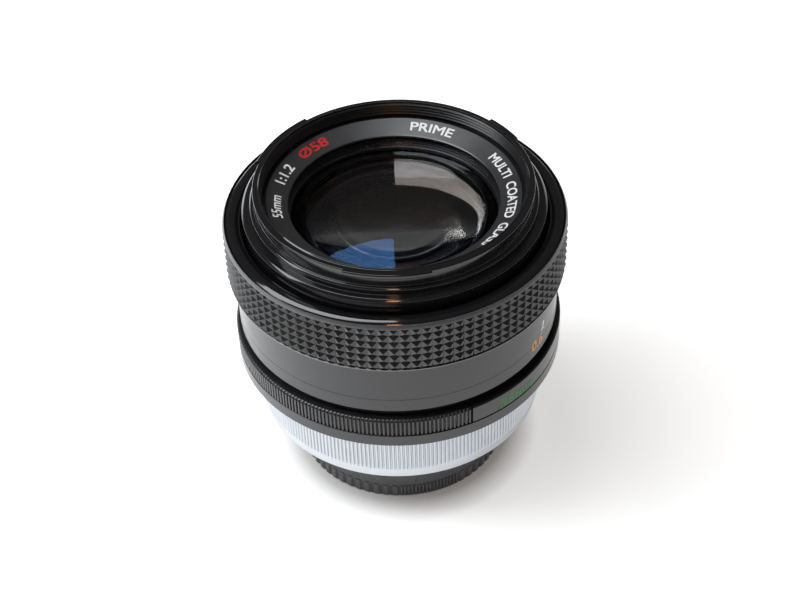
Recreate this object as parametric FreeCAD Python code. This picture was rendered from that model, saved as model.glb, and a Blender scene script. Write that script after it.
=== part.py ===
import FreeCAD, Part
import math
import os

# Prime camera lens for a single-lens reflex, standing on its rear cap with the front glass up.
# Millimetres. +Z runs along the optical axis from the camera side to the front.
# The origin is the bottom centre of the rear cap, on the axis.
# An azimuth is an angle about +Z measured from -Y, growing towards +X.

V = FreeCAD.Vector
AXIS = V(0, 0, 1)
ORIGIN = V(0, 0, 0)
FULL = 360.0
QUARTER = 90.0

# --- driving heights -------------------------------------------------------------------
CAP_RIB_TOP = 3.7
CAP_TOP = 19.8
BREECH_BOTTOM = 16.2
BREECH_FLUTE_BOTTOM = 18.9
BREECH_TOP = 30.6
FLANGE = 20.1              # face that meets the camera body
PLATE_TOP = 22.1
RING_BOTTOM = 31.0         # black aperture ring
STRIP_TOP = 34.0           # number strip of the aperture ring
RING_TOP = 38.7            # ribs of the aperture ring and the fixed scale beside them
SKIRT_BOTTOM = 40.7        # distance scale skirt
GRIP_BOTTOM = 54.1         # knurled focus grip
GRIP_TOP = 65.9            # upper edge of the knurling
TRIM_TOP = 67.2
SHOULDER_LOW = 69.75       # two steps of the front barrel, outermost first
SHOULDER_MID = 70.15
SHOULDER_TOP = 71.4
THREAD_BOTTOM = 71.6       # lower end of the filter thread
LUG_BOTTOM = 73.8
RIM_TOP = 75.0
NAME_SEAT = 68.9           # ledge that the name ring rests on
NAME_TOP = 71.4            # outer edge of the name ring
NAME_INNER_TOP = 69.85     # inner edge of the name ring

# --- driving radii ---------------------------------------------------------------------
CAP_R = 24.5
CAP_BORE_R = 23.5
BREECH_R = 33.3
BREECH_R_LOW = 32.7
RING_R = 37.2
SLEEVE_R = 35.0            # fixed sleeve under the aperture ring and the skirt
SKIRT_R = 36.2
GRIP_R = 38.0
TRIM_R = 37.35
TRIM_BORE = 33.9
FRONT_R = 33.3             # front barrel below its steps
MID_R = 32.3
TOP_R = 31.45
RIM_R = 30.6
LUG_R = 31.3
FILTER_BORE_R = 28.62      # crests of the 58 mm filter thread
FILTER_MOUTH_R = 29.05
THREAD_RELIEF_R = 29.2
NAME_RING_OUTER = 27.95
NAME_RING_R = 23.1         # inner edge of the sloping name ring

# --- fits ------------------------------------------------------------------------------
RUN = 0.08                 # radial clearance of a running fit
SEAT = 0.02                # radial clearance of a seated piece
GAP = 0.3                  # clear space between pieces that move past each other
CHAMFER = 0.3

# --- helicoid and barrels --------------------------------------------------------------
INNER_BARREL_R = 27.2
INNER_BARREL_BORE = 25.2
CELL_R = 25.18
HELICOID_R = 29.6
WEB_BOTTOM = 30.9          # web between the fixed sleeve and the neck under it
WEB_TOP = 34.5
NECK_R = 31.9
NECK_BORE = 29.8
NECK_GROOVE_R = 31.1
SLEEVE_BORE = 33.5
SLEEVE_TOP = 48.0
FOCUS_FLANGE_BOTTOM = 49.0
FOCUS_FLANGE_TOP = 51.0
BARREL_TRAVEL_BACK = 4.41  # from the rest focus back to infinity

# --- azimuths, degrees -----------------------------------------------------------------
RIBS_START = -118.0
RIBS_END = 23.9
SCALE_START = 24.3
SCALE_END = 181.6
LUG_ARCS = ((-21.0, 34.3), (116.8, 16.5), (-141.0, 34.3))
INDEX_AZIMUTH = 108.0
DETENT_AZIMUTH = -70.0
SIGNAL_AZIMUTH = -150.0
SIGNAL_TRAVEL = 60.0
KEY_AZIMUTHS = (80.0, -100.0)
FORK_AZIMUTH = 18.0
STOP_LEVER_AZIMUTH = -60.0
DRIVE_TRAVEL = 14.0

# --- counts ----------------------------------------------------------------------------
CAP_RIBS = 68
BREECH_FLUTES = 224
RING_RIBS = 256
BLADES = 8
MOUNT_SCREWS = 5
GRIP_SCREWS = 3

# --- iris ------------------------------------------------------------------------------
PIVOT_CIRCLE = 21.8
PIVOT_PIN_R = 0.5
DRIVE_PIN_R = 0.45
DRIVE_ARM = 3.0            # from a blade's pivot to its drive pin
DRIVE_ARM_ANGLE = 61.0
BLADE_SWING = 40.0
BLADE_INNER = 16.9
BLADE_OUTER = 20.5
BLADE_SPAN = 84.0
BLADE_THICK = 0.16
BLADE_STEP = 0.24          # each blade lies one step above the one before it
BLADE_BASE = 38.6
HOUSING_BOTTOM = 37.7
HOUSING_FLOOR = 38.5
HOUSING_TOP = 43.0
HOUSING_WALL_R = 24.3
DRIVE_RING_BOTTOM = 40.8
DRIVE_RING_TOP = 41.9
DRIVE_RING_BORE = 18.0
FORK_PIN_CIRCLE = 23.4
FORK_PIN_R = 0.8
FORK_PIN_BOTTOM = 28.1
FORK_TOP = 31.5

# --- glass: (vertex height, signed radius, clear radius) for each face, then rim radius --
# A radius is positive where the centre of curvature lies behind the face.
CEMENT = 0.02
FRONT_ELEMENT = ((71.6, 46.0, 22.9), (63.1, -100.0, 19.8), 22.9)
SECOND_ELEMENT = ((62.6, 31.0, 19.4), (56.6, 95.0, 19.4), 19.4)
THIRD_ELEMENT = ((56.6 - CEMENT, 95.0, 19.4), (54.6, 20.5, 15.6), 19.4)
FOURTH_ELEMENT = ((31.4, -20.5, 14.6), (30.0, -140.0, 17.8), 17.8)
FIFTH_ELEMENT = ((30.0 - CEMENT, -140.0, 17.8), (22.6, -27.0, 17.8), 17.8)
SIXTH_ELEMENT = ((22.2, 300.0, 18.2), (18.4, -90.0, 18.2), 18.2)
SEVENTH_ELEMENT = ((18.0, 70.0, 18.2), (13.6, -300.0, 18.2), 18.2)


def place(shape, azimuth):
    """Turn a shape drawn along -Y to its azimuth."""
    turned_shape = shape.copy()
    turned_shape.rotate(ORIGIN, AXIS, azimuth)
    return turned_shape


def turned(profile, start=0.0, sweep=FULL):
    """Revolve a closed profile of (radius, height) points about the axis, from an azimuth."""
    corners = [V(radius, 0, height) for radius, height in profile]
    corners.append(corners[0])
    face = Part.Face(Part.makePolygon(corners))
    face.rotate(ORIGIN, AXIS, start - QUARTER)
    return face.revolve(ORIGIN, AXIS, sweep)


def tube(inner, outer, bottom, top, start=0.0, sweep=FULL):
    return turned([(inner, bottom), (outer, bottom), (outer, top), (inner, top)], start, sweep)


def upright_pin(radius, circle, azimuth, bottom, top):
    """A pin parallel to the axis, on a circle about it."""
    pin = Part.makeCylinder(radius, top - bottom, V(0, -circle, bottom), AXIS)
    return place(pin, azimuth)


def radial_pin(radius, inner, outer, azimuth, height):
    """A pin pointing outwards from the axis."""
    pin = Part.makeCylinder(radius, outer - inner, V(0, -inner, height), V(0, -1, 0))
    return place(pin, azimuth)


def block(width, inner, outer, bottom, top, azimuth):
    """A flat-sided block that reaches from one radius to another."""
    box = Part.makeBox(width, outer - inner, top - bottom, V(-width / 2, -outer, bottom))
    return place(box, azimuth)


def fused(first, others):
    return first.multiFuse(list(others)).removeSplitter()


def without(shape, cutters):
    cutters = list(cutters)
    return shape.cut(cutters[0].multiFuse(cutters[1:]) if len(cutters) > 1 else cutters[0])


def ribbed_outline(count, valley, peak, height, land=0.5):
    """A closed outline with straight ribs: land is the share of the pitch that a rib fills."""
    pitch = 2 * math.pi / count
    slope = (1 - land) / 4
    marks = ((0.0, valley), (slope, peak), (slope + land, peak), (2 * slope + land, valley))
    corners = []
    for rib in range(count):
        for share, radius in marks:
            angle = (rib + share) * pitch
            corners.append(V(radius * math.cos(angle), radius * math.sin(angle), height))
    corners.append(corners[0])
    return Part.makePolygon(corners)


def ribbed_prism(count, valley, peak, bottom, top):
    face = Part.Face(ribbed_outline(count, valley, peak, bottom))
    return face.extrude(V(0, 0, top - bottom))


def glass_height(vertex, curve, radius):
    return vertex - curve + math.copysign(math.sqrt(curve * curve - radius * radius), curve)


def glass_face(surface):
    """The generating arc of a spherical face, from the axis outwards."""
    vertex, curve, clear = surface
    middle = clear / 2
    ends = [V(r, 0, glass_height(vertex, curve, r)) for r in (0.0, middle, clear)]
    return Part.Arc(*ends).toShape(), ends[2]


def element(front, rear, rim):
    """One glass element: two spherical faces and a ground cylindrical rim."""
    front_arc, front_edge = glass_face(front)
    rear_arc, rear_edge = glass_face(rear)
    corners = [front_edge, V(rim, 0, front_edge.z), V(rim, 0, rear_edge.z), rear_edge]
    edges = [front_arc]
    for start, end in zip(corners, corners[1:]):
        if start.distanceToPoint(end) > 1e-6:
            edges.append(Part.makeLine(start, end))
    edges.append(rear_arc)
    edges.append(Part.makeLine(V(0, 0, rear[0]), V(0, 0, front[0])))
    wire = Part.Wire(Part.__sortEdges__(edges))
    return Part.Face(wire).revolve(ORIGIN, AXIS, FULL)


# --- fixed barrel ----------------------------------------------------------------------

def main_barrel():
    """Sleeve, web and neck that everything else is mounted on."""
    groove_top = PLATE_TOP + 1.4
    barrel = turned([
        (NECK_BORE, PLATE_TOP), (NECK_GROOVE_R, PLATE_TOP), (NECK_GROOVE_R, groove_top),
        (NECK_R, groove_top), (NECK_R, WEB_BOTTOM), (SLEEVE_R, WEB_BOTTOM),
        (SLEEVE_R, SLEEVE_TOP), (SLEEVE_BORE, SLEEVE_TOP), (SLEEVE_BORE, WEB_TOP),
        (NECK_BORE, WEB_TOP),
    ])
    window_half = 5.0
    window_start = SIGNAL_AZIMUTH - SIGNAL_TRAVEL - window_half
    window_sweep = SIGNAL_TRAVEL + 2 * window_half
    window = tube(NECK_BORE - 1, SLEEVE_R + 1, 31.8, 33.4, window_start, window_sweep)
    ball_hole = radial_pin(0.92, SLEEVE_BORE - 1, SLEEVE_R + 1, DETENT_AZIMUTH, 36.4)
    return without(barrel, [window, ball_hole] + mount_screw_shanks())


def outer_helicoid():
    """Fixed outer thread of the focusing helicoid, seated on the web."""
    bore = HELICOID_R + RUN
    return turned([
        (bore, WEB_TOP), (SLEEVE_BORE - SEAT, WEB_TOP), (SLEEVE_BORE - SEAT, WEB_TOP + 1.5),
        (31.4, WEB_TOP + 1.5), (31.4, SLEEVE_TOP + 0.4), (bore, SLEEVE_TOP + 0.4),
    ])


def depth_scale_segment():
    """Fixed arc that carries the depth of field scale, beside the aperture ring's ribs."""
    profile = [
        (SLEEVE_R, STRIP_TOP + GAP), (RING_R, STRIP_TOP + GAP), (RING_R, RING_TOP - CHAMFER),
        (RING_R - CHAMFER, RING_TOP), (SLEEVE_R, RING_TOP),
    ]
    return turned(profile, SCALE_START, SCALE_END - SCALE_START)


def mount_plate():
    """Rear plate whose underside is the flange face, with a lip that guides the lever ring."""
    plate = turned([
        (23.3, FLANGE), (NECK_R, FLANGE), (NECK_R, PLATE_TOP), (25.6, PLATE_TOP),
        (25.6, 23.4), (24.6, 23.4), (24.6, 21.6), (23.3, 21.6),
    ])
    return without(plate, [mount_screws()])


def mount_screw_shanks():
    step = FULL / MOUNT_SCREWS
    return [upright_pin(0.55, 30.5, number * step, FLANGE, 27.0) for number in range(MOUNT_SCREWS)]


def mount_screws():
    """Countersunk screws that hold the plate to the neck."""
    screws = []
    for shank in mount_screw_shanks():
        centre = shank.BoundBox.Center
        head = Part.makeCone(0.95, 0.55, 0.6, V(centre.x, centre.y, FLANGE), AXIS)
        screws.append(shank.fuse(head).removeSplitter())
    return Part.makeCompound(screws)


def rear_lever_guard():
    """Thin tube behind the flange that shields the levers and the rear glass."""
    return tube(22.4, 23.28, 14.2, 21.6)


def helicoid_guide_keys():
    """Two posts on the plate that stop the inner barrel from turning as it slides."""
    keys = []
    for azimuth in KEY_AZIMUTHS:
        post = block(3.0, 25.7, 27.0, PLATE_TOP, 40.0, azimuth)
        foot = block(6.0, 25.7, 29.2, PLATE_TOP, 24.2, azimuth)
        keys.append(post.fuse(foot).removeSplitter())
    return Part.makeCompound(keys)


def detent_ball():
    ball = Part.makeSphere(0.9, V(0, -34.4, 36.4))
    return place(ball, DETENT_AZIMUTH)


def detent_leaf_spring():
    """Curved leaf behind the ball, inside the sleeve wall."""
    half_span = 12.0
    return tube(33.2, SLEEVE_BORE - SEAT, 36.1, 37.3, DETENT_AZIMUTH - half_span, 2 * half_span)


# --- focus ring ------------------------------------------------------------------------

def focus_helicoid():
    """Rotating double thread: it turns in the outer helicoid and drives the inner barrel."""
    bore = INNER_BARREL_R + RUN
    flange_r = 33.4
    helicoid = turned([
        (bore, 34.8), (HELICOID_R, 34.8), (HELICOID_R, FOCUS_FLANGE_BOTTOM),
        (flange_r, FOCUS_FLANGE_BOTTOM), (flange_r, FOCUS_FLANGE_TOP), (bore, FOCUS_FLANGE_TOP),
    ])
    return without(helicoid, grip_screw_list())


def focus_grip_ring():
    """Knurled ring, with an inner web that is screwed to the helicoid."""
    neck_r = 35.3
    wall_r = TRIM_BORE + 0.3
    trim_seat = TRIM_TOP - 1.2
    grip = turned([
        (31.0, FOCUS_FLANGE_TOP), (neck_r, FOCUS_FLANGE_TOP), (neck_r, GRIP_BOTTOM),
        (GRIP_R - CHAMFER, GRIP_BOTTOM), (GRIP_R, GRIP_BOTTOM + CHAMFER), (GRIP_R, GRIP_TOP),
        (GRIP_R - 0.5, GRIP_TOP + 0.95), (TRIM_R + SEAT, GRIP_TOP + 0.95), (TRIM_R + SEAT, trim_seat),
        (wall_r, trim_seat), (wall_r, GRIP_BOTTOM + 0.1), (31.0, GRIP_BOTTOM + 0.1),
    ])
    return without(grip, grip_screw_list())


def grip_screw_list():
    step = FULL / GRIP_SCREWS
    screws = []
    for number in range(GRIP_SCREWS):
        azimuth = QUARTER + number * step
        shank = upright_pin(0.7, 32.2, azimuth, FOCUS_FLANGE_BOTTOM + 0.6, GRIP_BOTTOM)
        head = upright_pin(1.1, 32.2, azimuth, GRIP_BOTTOM - 0.9, GRIP_BOTTOM)
        screws.append(shank.fuse(head).removeSplitter())
    return screws


def focus_trim_ring():
    """Polished ring set into the front face of the grip, with a sunk inner lip."""
    low = TRIM_TOP - 1.2
    lip_top = TRIM_TOP - 0.75
    return turned([
        (TRIM_BORE, low), (TRIM_R, low), (TRIM_R, TRIM_TOP - 0.25), (TRIM_R - 0.55, TRIM_TOP),
        (35.2, TRIM_TOP), (34.5, TRIM_TOP - 0.3), (34.45, lip_top), (TRIM_BORE, lip_top),
    ])


def distance_scale_skirt():
    """Smooth sleeve below the grip that carries the distance scale."""
    bore = 35.3
    return turned([
        (bore, SKIRT_BOTTOM), (SKIRT_R - 0.2, SKIRT_BOTTOM), (SKIRT_R, SKIRT_BOTTOM + 0.2),
        (SKIRT_R, GRIP_BOTTOM), (bore, GRIP_BOTTOM),
    ])


# --- front barrel ----------------------------------------------------------------------

def filter_ring():
    """Front barrel with stepped shoulder, hood lugs and the bore of the filter thread."""
    skirt_bottom = 59.0
    web_bottom = 65.0
    web_top = 66.6
    name_bore = NAME_RING_OUTER + SEAT
    relief_bottom = THREAD_BOTTOM - 0.5
    slope = 0.3
    body = turned([
        (FILTER_MOUTH_R, RIM_TOP), (RIM_R - 0.6, RIM_TOP), (RIM_R, 74.6), (RIM_R, SHOULDER_TOP),
        (TOP_R, SHOULDER_TOP - slope), (TOP_R, SHOULDER_MID), (MID_R, SHOULDER_MID - slope),
        (FRONT_R - 0.2, SHOULDER_LOW), (FRONT_R, SHOULDER_LOW - 0.25), (FRONT_R, skirt_bottom),
        (FRONT_R - 0.9, skirt_bottom), (FRONT_R - 0.9, web_bottom), (INNER_BARREL_BORE, web_bottom),
        (INNER_BARREL_BORE, web_top), (26.9, web_top), (26.9, NAME_SEAT), (name_bore, NAME_SEAT),
        (name_bore, relief_bottom), (THREAD_RELIEF_R, relief_bottom), (THREAD_RELIEF_R, THREAD_BOTTOM),
        (FILTER_BORE_R, THREAD_BOTTOM), (FILTER_BORE_R, 74.6),
    ])
    lugs = []
    for start, sweep in LUG_ARCS:
        lug = [
            (RIM_R - 0.4, LUG_BOTTOM), (LUG_R, LUG_BOTTOM), (LUG_R, 74.5),
            (LUG_R - 0.2, 74.75), (RIM_R - 0.2, 74.75), (RIM_R - 0.4, 74.4),
        ]
        lugs.append(turned(lug, start, sweep))
    return fused(body, lugs)


def name_ring():
    """Sloping ring between the filter thread and the front glass."""
    return turned([
        (NAME_RING_OUTER, NAME_SEAT), (NAME_RING_OUTER, NAME_TOP - 0.15), (NAME_RING_OUTER - 0.15, NAME_TOP),
        (NAME_RING_R + 0.2, NAME_INNER_TOP), (NAME_RING_R, NAME_INNER_TOP - 0.15),
        (NAME_RING_R, NAME_INNER_TOP - 0.6), (NAME_RING_R + 0.3, NAME_INNER_TOP - 0.65),
        (27.0, NAME_TOP - 1.2), (27.0, NAME_SEAT),
    ])


def inner_barrel():
    """Tube that carries both lens groups along the axis, slotted for the guide keys."""
    barrel = tube(INNER_BARREL_BORE, INNER_BARREL_R, 29.4, 65.0)
    slots = [block(3.1, 24.0, 29.0, 28.0, 46.0, azimuth) for azimuth in KEY_AZIMUTHS]
    return without(barrel, slots)


def front_cell():
    """Cell of the three front elements."""
    return turned([
        (17.2, 42.3), (24.2, 42.3), (24.2, HOUSING_TOP), (CELL_R, HOUSING_TOP), (CELL_R, 68.4),
        (24.3, 68.4), (24.3, 65.45), (22.92, 65.45), (22.92, 65.0), (22.22, 65.0), (22.22, 56.8),
        (19.42, 56.8), (19.42, 47.4), (17.2, 47.4),
    ])


def front_retaining_ring():
    """Black ring that clamps the front element, with a bevel that faces forwards."""
    return turned([
        (24.28, 65.75), (24.28, 68.2), (23.75, 68.35), (22.95, 67.0), (22.75, 66.85),
        (22.6, 66.15), (22.9, 65.75),
    ])


def front_spacer():
    """Spacer between the front element and the cemented pair."""
    return tube(19.9, 22.18, 56.8, 64.95)


def window_arc(bottom, top):
    """Arc-shaped opening that the iris drive pin sweeps through."""
    margin = 3.5
    start = FORK_AZIMUTH - margin
    return tube(22.4, 24.4, bottom, top, start, DRIVE_TRAVEL + 2 * margin)


def iris_housing():
    """Cup that the blades pivot in."""
    housing = turned([
        (17.6, HOUSING_BOTTOM), (CELL_R, HOUSING_BOTTOM), (CELL_R, HOUSING_TOP),
        (HOUSING_WALL_R, HOUSING_TOP), (HOUSING_WALL_R, HOUSING_FLOOR), (17.6, HOUSING_FLOOR),
    ])
    step = FULL / BLADES
    cuts = [window_arc(HOUSING_BOTTOM - 1, HOUSING_FLOOR + 1)]
    for number in range(BLADES):
        hole_r = PIVOT_PIN_R + RUN
        cuts.append(upright_pin(hole_r, PIVOT_CIRCLE, number * step, HOUSING_BOTTOM - 1, HOUSING_FLOOR + 1))
    return without(housing, cuts)


def drive_pin_place(swing):
    """Radius and azimuth of a blade's drive pin, relative to its pivot, at a blade angle."""
    angle = math.radians(DRIVE_ARM_ANGLE + swing)
    along = PIVOT_CIRCLE + DRIVE_ARM * math.cos(angle)
    across = DRIVE_ARM * math.sin(angle)
    return math.hypot(along, across), math.degrees(math.atan2(across, along))


def iris_blade(number):
    """One curved blade with its pivot pin below and its drive pin above."""
    azimuth = number * FULL / BLADES
    bottom = BLADE_BASE + number * BLADE_STEP
    top = bottom + BLADE_THICK
    strip = tube(BLADE_INNER, BLADE_OUTER, bottom, top, azimuth, BLADE_SPAN)
    pin_circle, pin_azimuth = drive_pin_place(0.0)
    ear = upright_pin(1.0, PIVOT_CIRCLE, azimuth, bottom, top)
    tip = upright_pin(0.8, pin_circle, azimuth + pin_azimuth, bottom, top)
    web = tube(BLADE_OUTER - 0.6, pin_circle, bottom, top, azimuth, pin_azimuth)
    pivot = upright_pin(PIVOT_PIN_R, PIVOT_CIRCLE, azimuth, HOUSING_BOTTOM + 0.2, top)
    drive = upright_pin(DRIVE_PIN_R, pin_circle, azimuth + pin_azimuth, bottom, DRIVE_RING_TOP - 0.2)
    return fused(strip, [ear, tip, web, pivot, drive])


def drive_slot(azimuth):
    """Cam slot that a blade's drive pin follows, in the frame of the drive ring."""
    stations = 9
    radius = DRIVE_PIN_R + RUN
    height = DRIVE_RING_TOP - DRIVE_RING_BOTTOM + 2
    pieces = []
    places = []
    for station in range(stations):
        share = station / (stations - 1)
        circle, pin_azimuth = drive_pin_place(share * BLADE_SWING)
        turn = azimuth + pin_azimuth - share * DRIVE_TRAVEL
        places.append(upright_pin(radius, circle, turn, DRIVE_RING_BOTTOM - 1, DRIVE_RING_TOP + 1))
    for start, end in zip(places, places[1:]):
        here = start.BoundBox.Center
        there = end.BoundBox.Center
        along = V(there.x - here.x, there.y - here.y, 0)
        side = V(-along.y, along.x, 0).normalize() * radius
        low = V(0, 0, DRIVE_RING_BOTTOM - 1 - here.z)
        corners = [here + side + low, here - side + low, there - side + low, there + side + low]
        corners.append(corners[0])
        pieces.append(Part.Face(Part.makePolygon(corners)).extrude(V(0, 0, height)))
    return places[0].multiFuse(places[1:] + pieces)


def iris_drive_ring():
    """Ring with cam slots above the blades, and the long pin that the lever's fork pushes."""
    outer = HOUSING_WALL_R - RUN
    ring = tube(DRIVE_RING_BORE, outer, DRIVE_RING_BOTTOM, DRIVE_RING_TOP)
    step = FULL / BLADES
    ring = without(ring, [drive_slot(number * step) for number in range(BLADES)])
    pin = upright_pin(FORK_PIN_R, FORK_PIN_CIRCLE, FORK_AZIMUTH, FORK_PIN_BOTTOM, DRIVE_RING_TOP)
    return fused(ring, [pin])


def stop_retaining_ring():
    """Ring that holds the rear cemented pair, just behind the blades."""
    return tube(15.2, 17.5, 37.6, 38.4)


def rear_cell():
    """Cell of the four rear elements, hung from a flange below the iris."""
    cell = turned([
        (18.22, 12.9), (19.6, 12.9), (19.6, 36.2), (CELL_R, 36.2), (CELL_R, HOUSING_BOTTOM),
        (17.82, HOUSING_BOTTOM), (17.82, 28.2), (16.9, 28.2), (16.9, 22.4), (18.22, 22.4),
    ])
    return without(cell, [window_arc(35.0, 39.0)])


def rear_spacer():
    return tube(17.2, 18.2, 15.9, 20.0)


def rear_retaining_ring():
    return turned([(16.4, 12.9), (18.2, 12.9), (18.2, 14.0), (16.6, 14.0), (16.4, 13.8)])


# --- aperture ring and levers ----------------------------------------------------------

def aperture_ring():
    """Number strip all round, and a ribbed grip on the arc that the fixed scale leaves free."""
    bore = SLEEVE_R + RUN
    sweep = RIBS_END - RIBS_START
    ribs = ribbed_prism(RING_RIBS, RING_R - 0.42, RING_R, STRIP_TOP + 0.2, RING_TOP - CHAMFER)
    ribs = ribs.common(tube(bore, RING_R + 1, STRIP_TOP, RING_TOP, RIBS_START, sweep))
    crown = turned([
        (bore, STRIP_TOP - 0.5), (RING_R - 0.42, STRIP_TOP - 0.5), (RING_R - 0.42, RING_TOP - CHAMFER),
        (RING_R - 0.6, RING_TOP), (bore, RING_TOP),
    ], RIBS_START, sweep)
    strip = turned([
        (bore, RING_BOTTOM), (RING_R - 0.2, RING_BOTTOM), (RING_R, RING_BOTTOM + 0.2),
        (RING_R, STRIP_TOP - 0.15), (RING_R - 0.15, STRIP_TOP), (bore, STRIP_TOP),
    ])
    track = tube(bore - 1, 35.5, 35.4, 37.4, RIBS_START - 1, sweep + 2)
    return fused(strip, [crown, ribs]).cut(track)


def aperture_signal_lever():
    """Arm that carries the ring's setting through the barrel to the camera side."""
    shoulder = block(4.0, 28.7, SLEEVE_R + RUN / 4, 32.0, 33.2, SIGNAL_AZIMUTH)
    upright = tube(28.1, 29.5, 23.7, 33.2, SIGNAL_AZIMUTH - 4, 8.0)
    foot = block(3.0, 20.6, 29.0, 23.7, 24.5, SIGNAL_AZIMUTH)
    finger = tube(20.6, 21.9, 10.0, 24.5, SIGNAL_AZIMUTH - 3.5, 7.0)
    return fused(shoulder, [upright, foot, finger])


def stop_down_lever():
    """Lever ring with a finger behind the flange and a fork that turns the iris ring."""
    ring_start = -140.0
    ring_sweep = 266.0
    ring = tube(20.4, 24.5, 21.9, 23.2, ring_start, ring_sweep)
    finger = tube(20.6, 21.9, 9.8, 22.0, STOP_LEVER_AZIMUTH - 3.5, 7.0)
    fork = block(4.2, 22.5, 24.3, 23.0, FORK_TOP, FORK_AZIMUTH)
    throat = block(2 * (FORK_PIN_R + RUN), 22.0, 25.0, 23.4, FORK_TOP + 1, FORK_AZIMUTH)
    return fused(ring, [finger, fork.cut(throat)])


# --- breech ring and cap ---------------------------------------------------------------

def breech_lock_ring():
    """Satin ring that turns to draw the lens onto the camera, fluted above a smooth band."""
    bore = NECK_R + RUN
    valley = BREECH_R - 0.4
    flute_top = BREECH_TOP - 0.4
    flutes = ribbed_prism(BREECH_FLUTES, valley - 0.1, BREECH_R, BREECH_FLUTE_BOTTOM, flute_top)
    core = turned([
        (bore, BREECH_BOTTOM), (BREECH_R_LOW - 0.2, BREECH_BOTTOM),
        (BREECH_R_LOW, BREECH_BOTTOM + 0.2), (BREECH_R_LOW, BREECH_FLUTE_BOTTOM - 0.3),
        (valley, BREECH_FLUTE_BOTTOM - 0.1), (valley, flute_top + 0.1),
        (valley - 0.3, BREECH_TOP), (bore, BREECH_TOP),
    ])
    ring = flutes.cut(tube(0.0, bore, 0.0, 60.0)).fuse(core)
    lip = tube(31.2, bore + 0.2, PLATE_TOP + 0.2, PLATE_TOP + 1.2)
    lugs = [tube(30.4, bore + 0.2, 16.6, 18.0, start, 30.0) for start in (0.0, 120.0, 240.0)]
    ring = fused(ring, [lip] + lugs)
    return ring.cut(index_bead())


def index_bead():
    """Round mark on the breech ring's smooth band."""
    return radial_pin(0.9, 32.3, 33.2, INDEX_AZIMUTH, 17.8)


def rear_cap():
    """Plastic cap with a ribbed foot."""
    wall_r = CAP_R - 0.15
    bore = CAP_BORE_R
    floor = 2.0
    shell = turned([
        (0.0, 0.0), (wall_r - 0.6, 0.0), (wall_r - 0.35, 0.35), (wall_r - 0.35, CAP_RIB_TOP),
        (wall_r, CAP_RIB_TOP + 0.2), (wall_r, CAP_TOP - 0.2), (wall_r - 0.2, CAP_TOP),
        (bore, CAP_TOP), (bore, floor), (0.0, floor),
    ])
    ribs = ribbed_prism(CAP_RIBS, wall_r - 0.45, CAP_R, 0.35, CAP_RIB_TOP)
    return fused(shell, [ribs.cut(tube(0.0, bore, -1.0, CAP_TOP))])


PIECES = {
    "main_barrel": main_barrel,
    "outer_helicoid": outer_helicoid,
    "depth_scale_segment": depth_scale_segment,
    "mount_plate": mount_plate,
    "mount_screws": mount_screws,
    "rear_lever_guard": rear_lever_guard,
    "helicoid_guide_keys": helicoid_guide_keys,
    "detent_ball": detent_ball,
    "detent_leaf_spring": detent_leaf_spring,
    "focus_helicoid": focus_helicoid,
    "focus_grip_ring": focus_grip_ring,
    "grip_ring_screws": lambda: Part.makeCompound(grip_screw_list()),
    "focus_trim_ring": focus_trim_ring,
    "distance_scale_skirt": distance_scale_skirt,
    "filter_ring": filter_ring,
    "name_ring": name_ring,
    "inner_barrel": inner_barrel,
    "front_cell": front_cell,
    "front_retaining_ring": front_retaining_ring,
    "front_spacer": front_spacer,
    "front_element": lambda: element(*FRONT_ELEMENT),
    "second_element": lambda: element(*SECOND_ELEMENT),
    "third_element": lambda: element(*THIRD_ELEMENT),
    "iris_housing": iris_housing,
    "iris_drive_ring": iris_drive_ring,
    "stop_retaining_ring": stop_retaining_ring,
    "rear_cell": rear_cell,
    "fourth_element": lambda: element(*FOURTH_ELEMENT),
    "fifth_element": lambda: element(*FIFTH_ELEMENT),
    "sixth_element": lambda: element(*SIXTH_ELEMENT),
    "seventh_element": lambda: element(*SEVENTH_ELEMENT),
    "rear_spacer": rear_spacer,
    "rear_retaining_ring": rear_retaining_ring,
    "aperture_ring": aperture_ring,
    "aperture_signal_lever": aperture_signal_lever,
    "stop_down_lever": stop_down_lever,
    "breech_lock_ring": breech_lock_ring,
    "breech_index_bead": index_bead,
    "rear_cap": rear_cap,
}


def main():
    os.makedirs("parts", exist_ok=True)
    for node, make in PIECES.items():
        make().exportStep("parts/" + node + ".step")
    for number in range(BLADES):
        iris_blade(number).exportStep("parts/iris_blade_%d.step" % (number + 1))


main()
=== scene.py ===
"""Prime camera lens standing on its rear cap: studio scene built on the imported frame.

Lengths below are in millimetres and are scaled to metres when a mesh is made.
An azimuth is an angle about +Z in degrees, measured from -Y and growing towards +X.
"""
import math

import bpy
from mathutils import Matrix, Vector


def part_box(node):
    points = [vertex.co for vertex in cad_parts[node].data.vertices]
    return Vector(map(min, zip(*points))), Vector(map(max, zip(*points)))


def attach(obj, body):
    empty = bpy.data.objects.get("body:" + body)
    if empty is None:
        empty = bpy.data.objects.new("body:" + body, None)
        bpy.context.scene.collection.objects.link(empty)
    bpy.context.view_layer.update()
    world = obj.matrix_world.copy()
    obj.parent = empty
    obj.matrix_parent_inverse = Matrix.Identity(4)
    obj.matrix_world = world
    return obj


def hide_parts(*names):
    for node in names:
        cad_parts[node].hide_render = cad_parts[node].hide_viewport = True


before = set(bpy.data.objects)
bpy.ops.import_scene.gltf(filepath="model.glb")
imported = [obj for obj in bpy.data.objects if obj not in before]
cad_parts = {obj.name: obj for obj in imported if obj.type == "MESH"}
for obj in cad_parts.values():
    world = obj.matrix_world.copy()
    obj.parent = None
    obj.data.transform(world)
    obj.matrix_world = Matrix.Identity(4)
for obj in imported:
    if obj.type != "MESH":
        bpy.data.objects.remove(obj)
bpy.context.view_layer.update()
MM = 0.001
QUARTER = math.pi / 2


def node_top(node):
    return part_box(node)[1][2] / MM


def node_bottom(node):
    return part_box(node)[0][2] / MM


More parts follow.
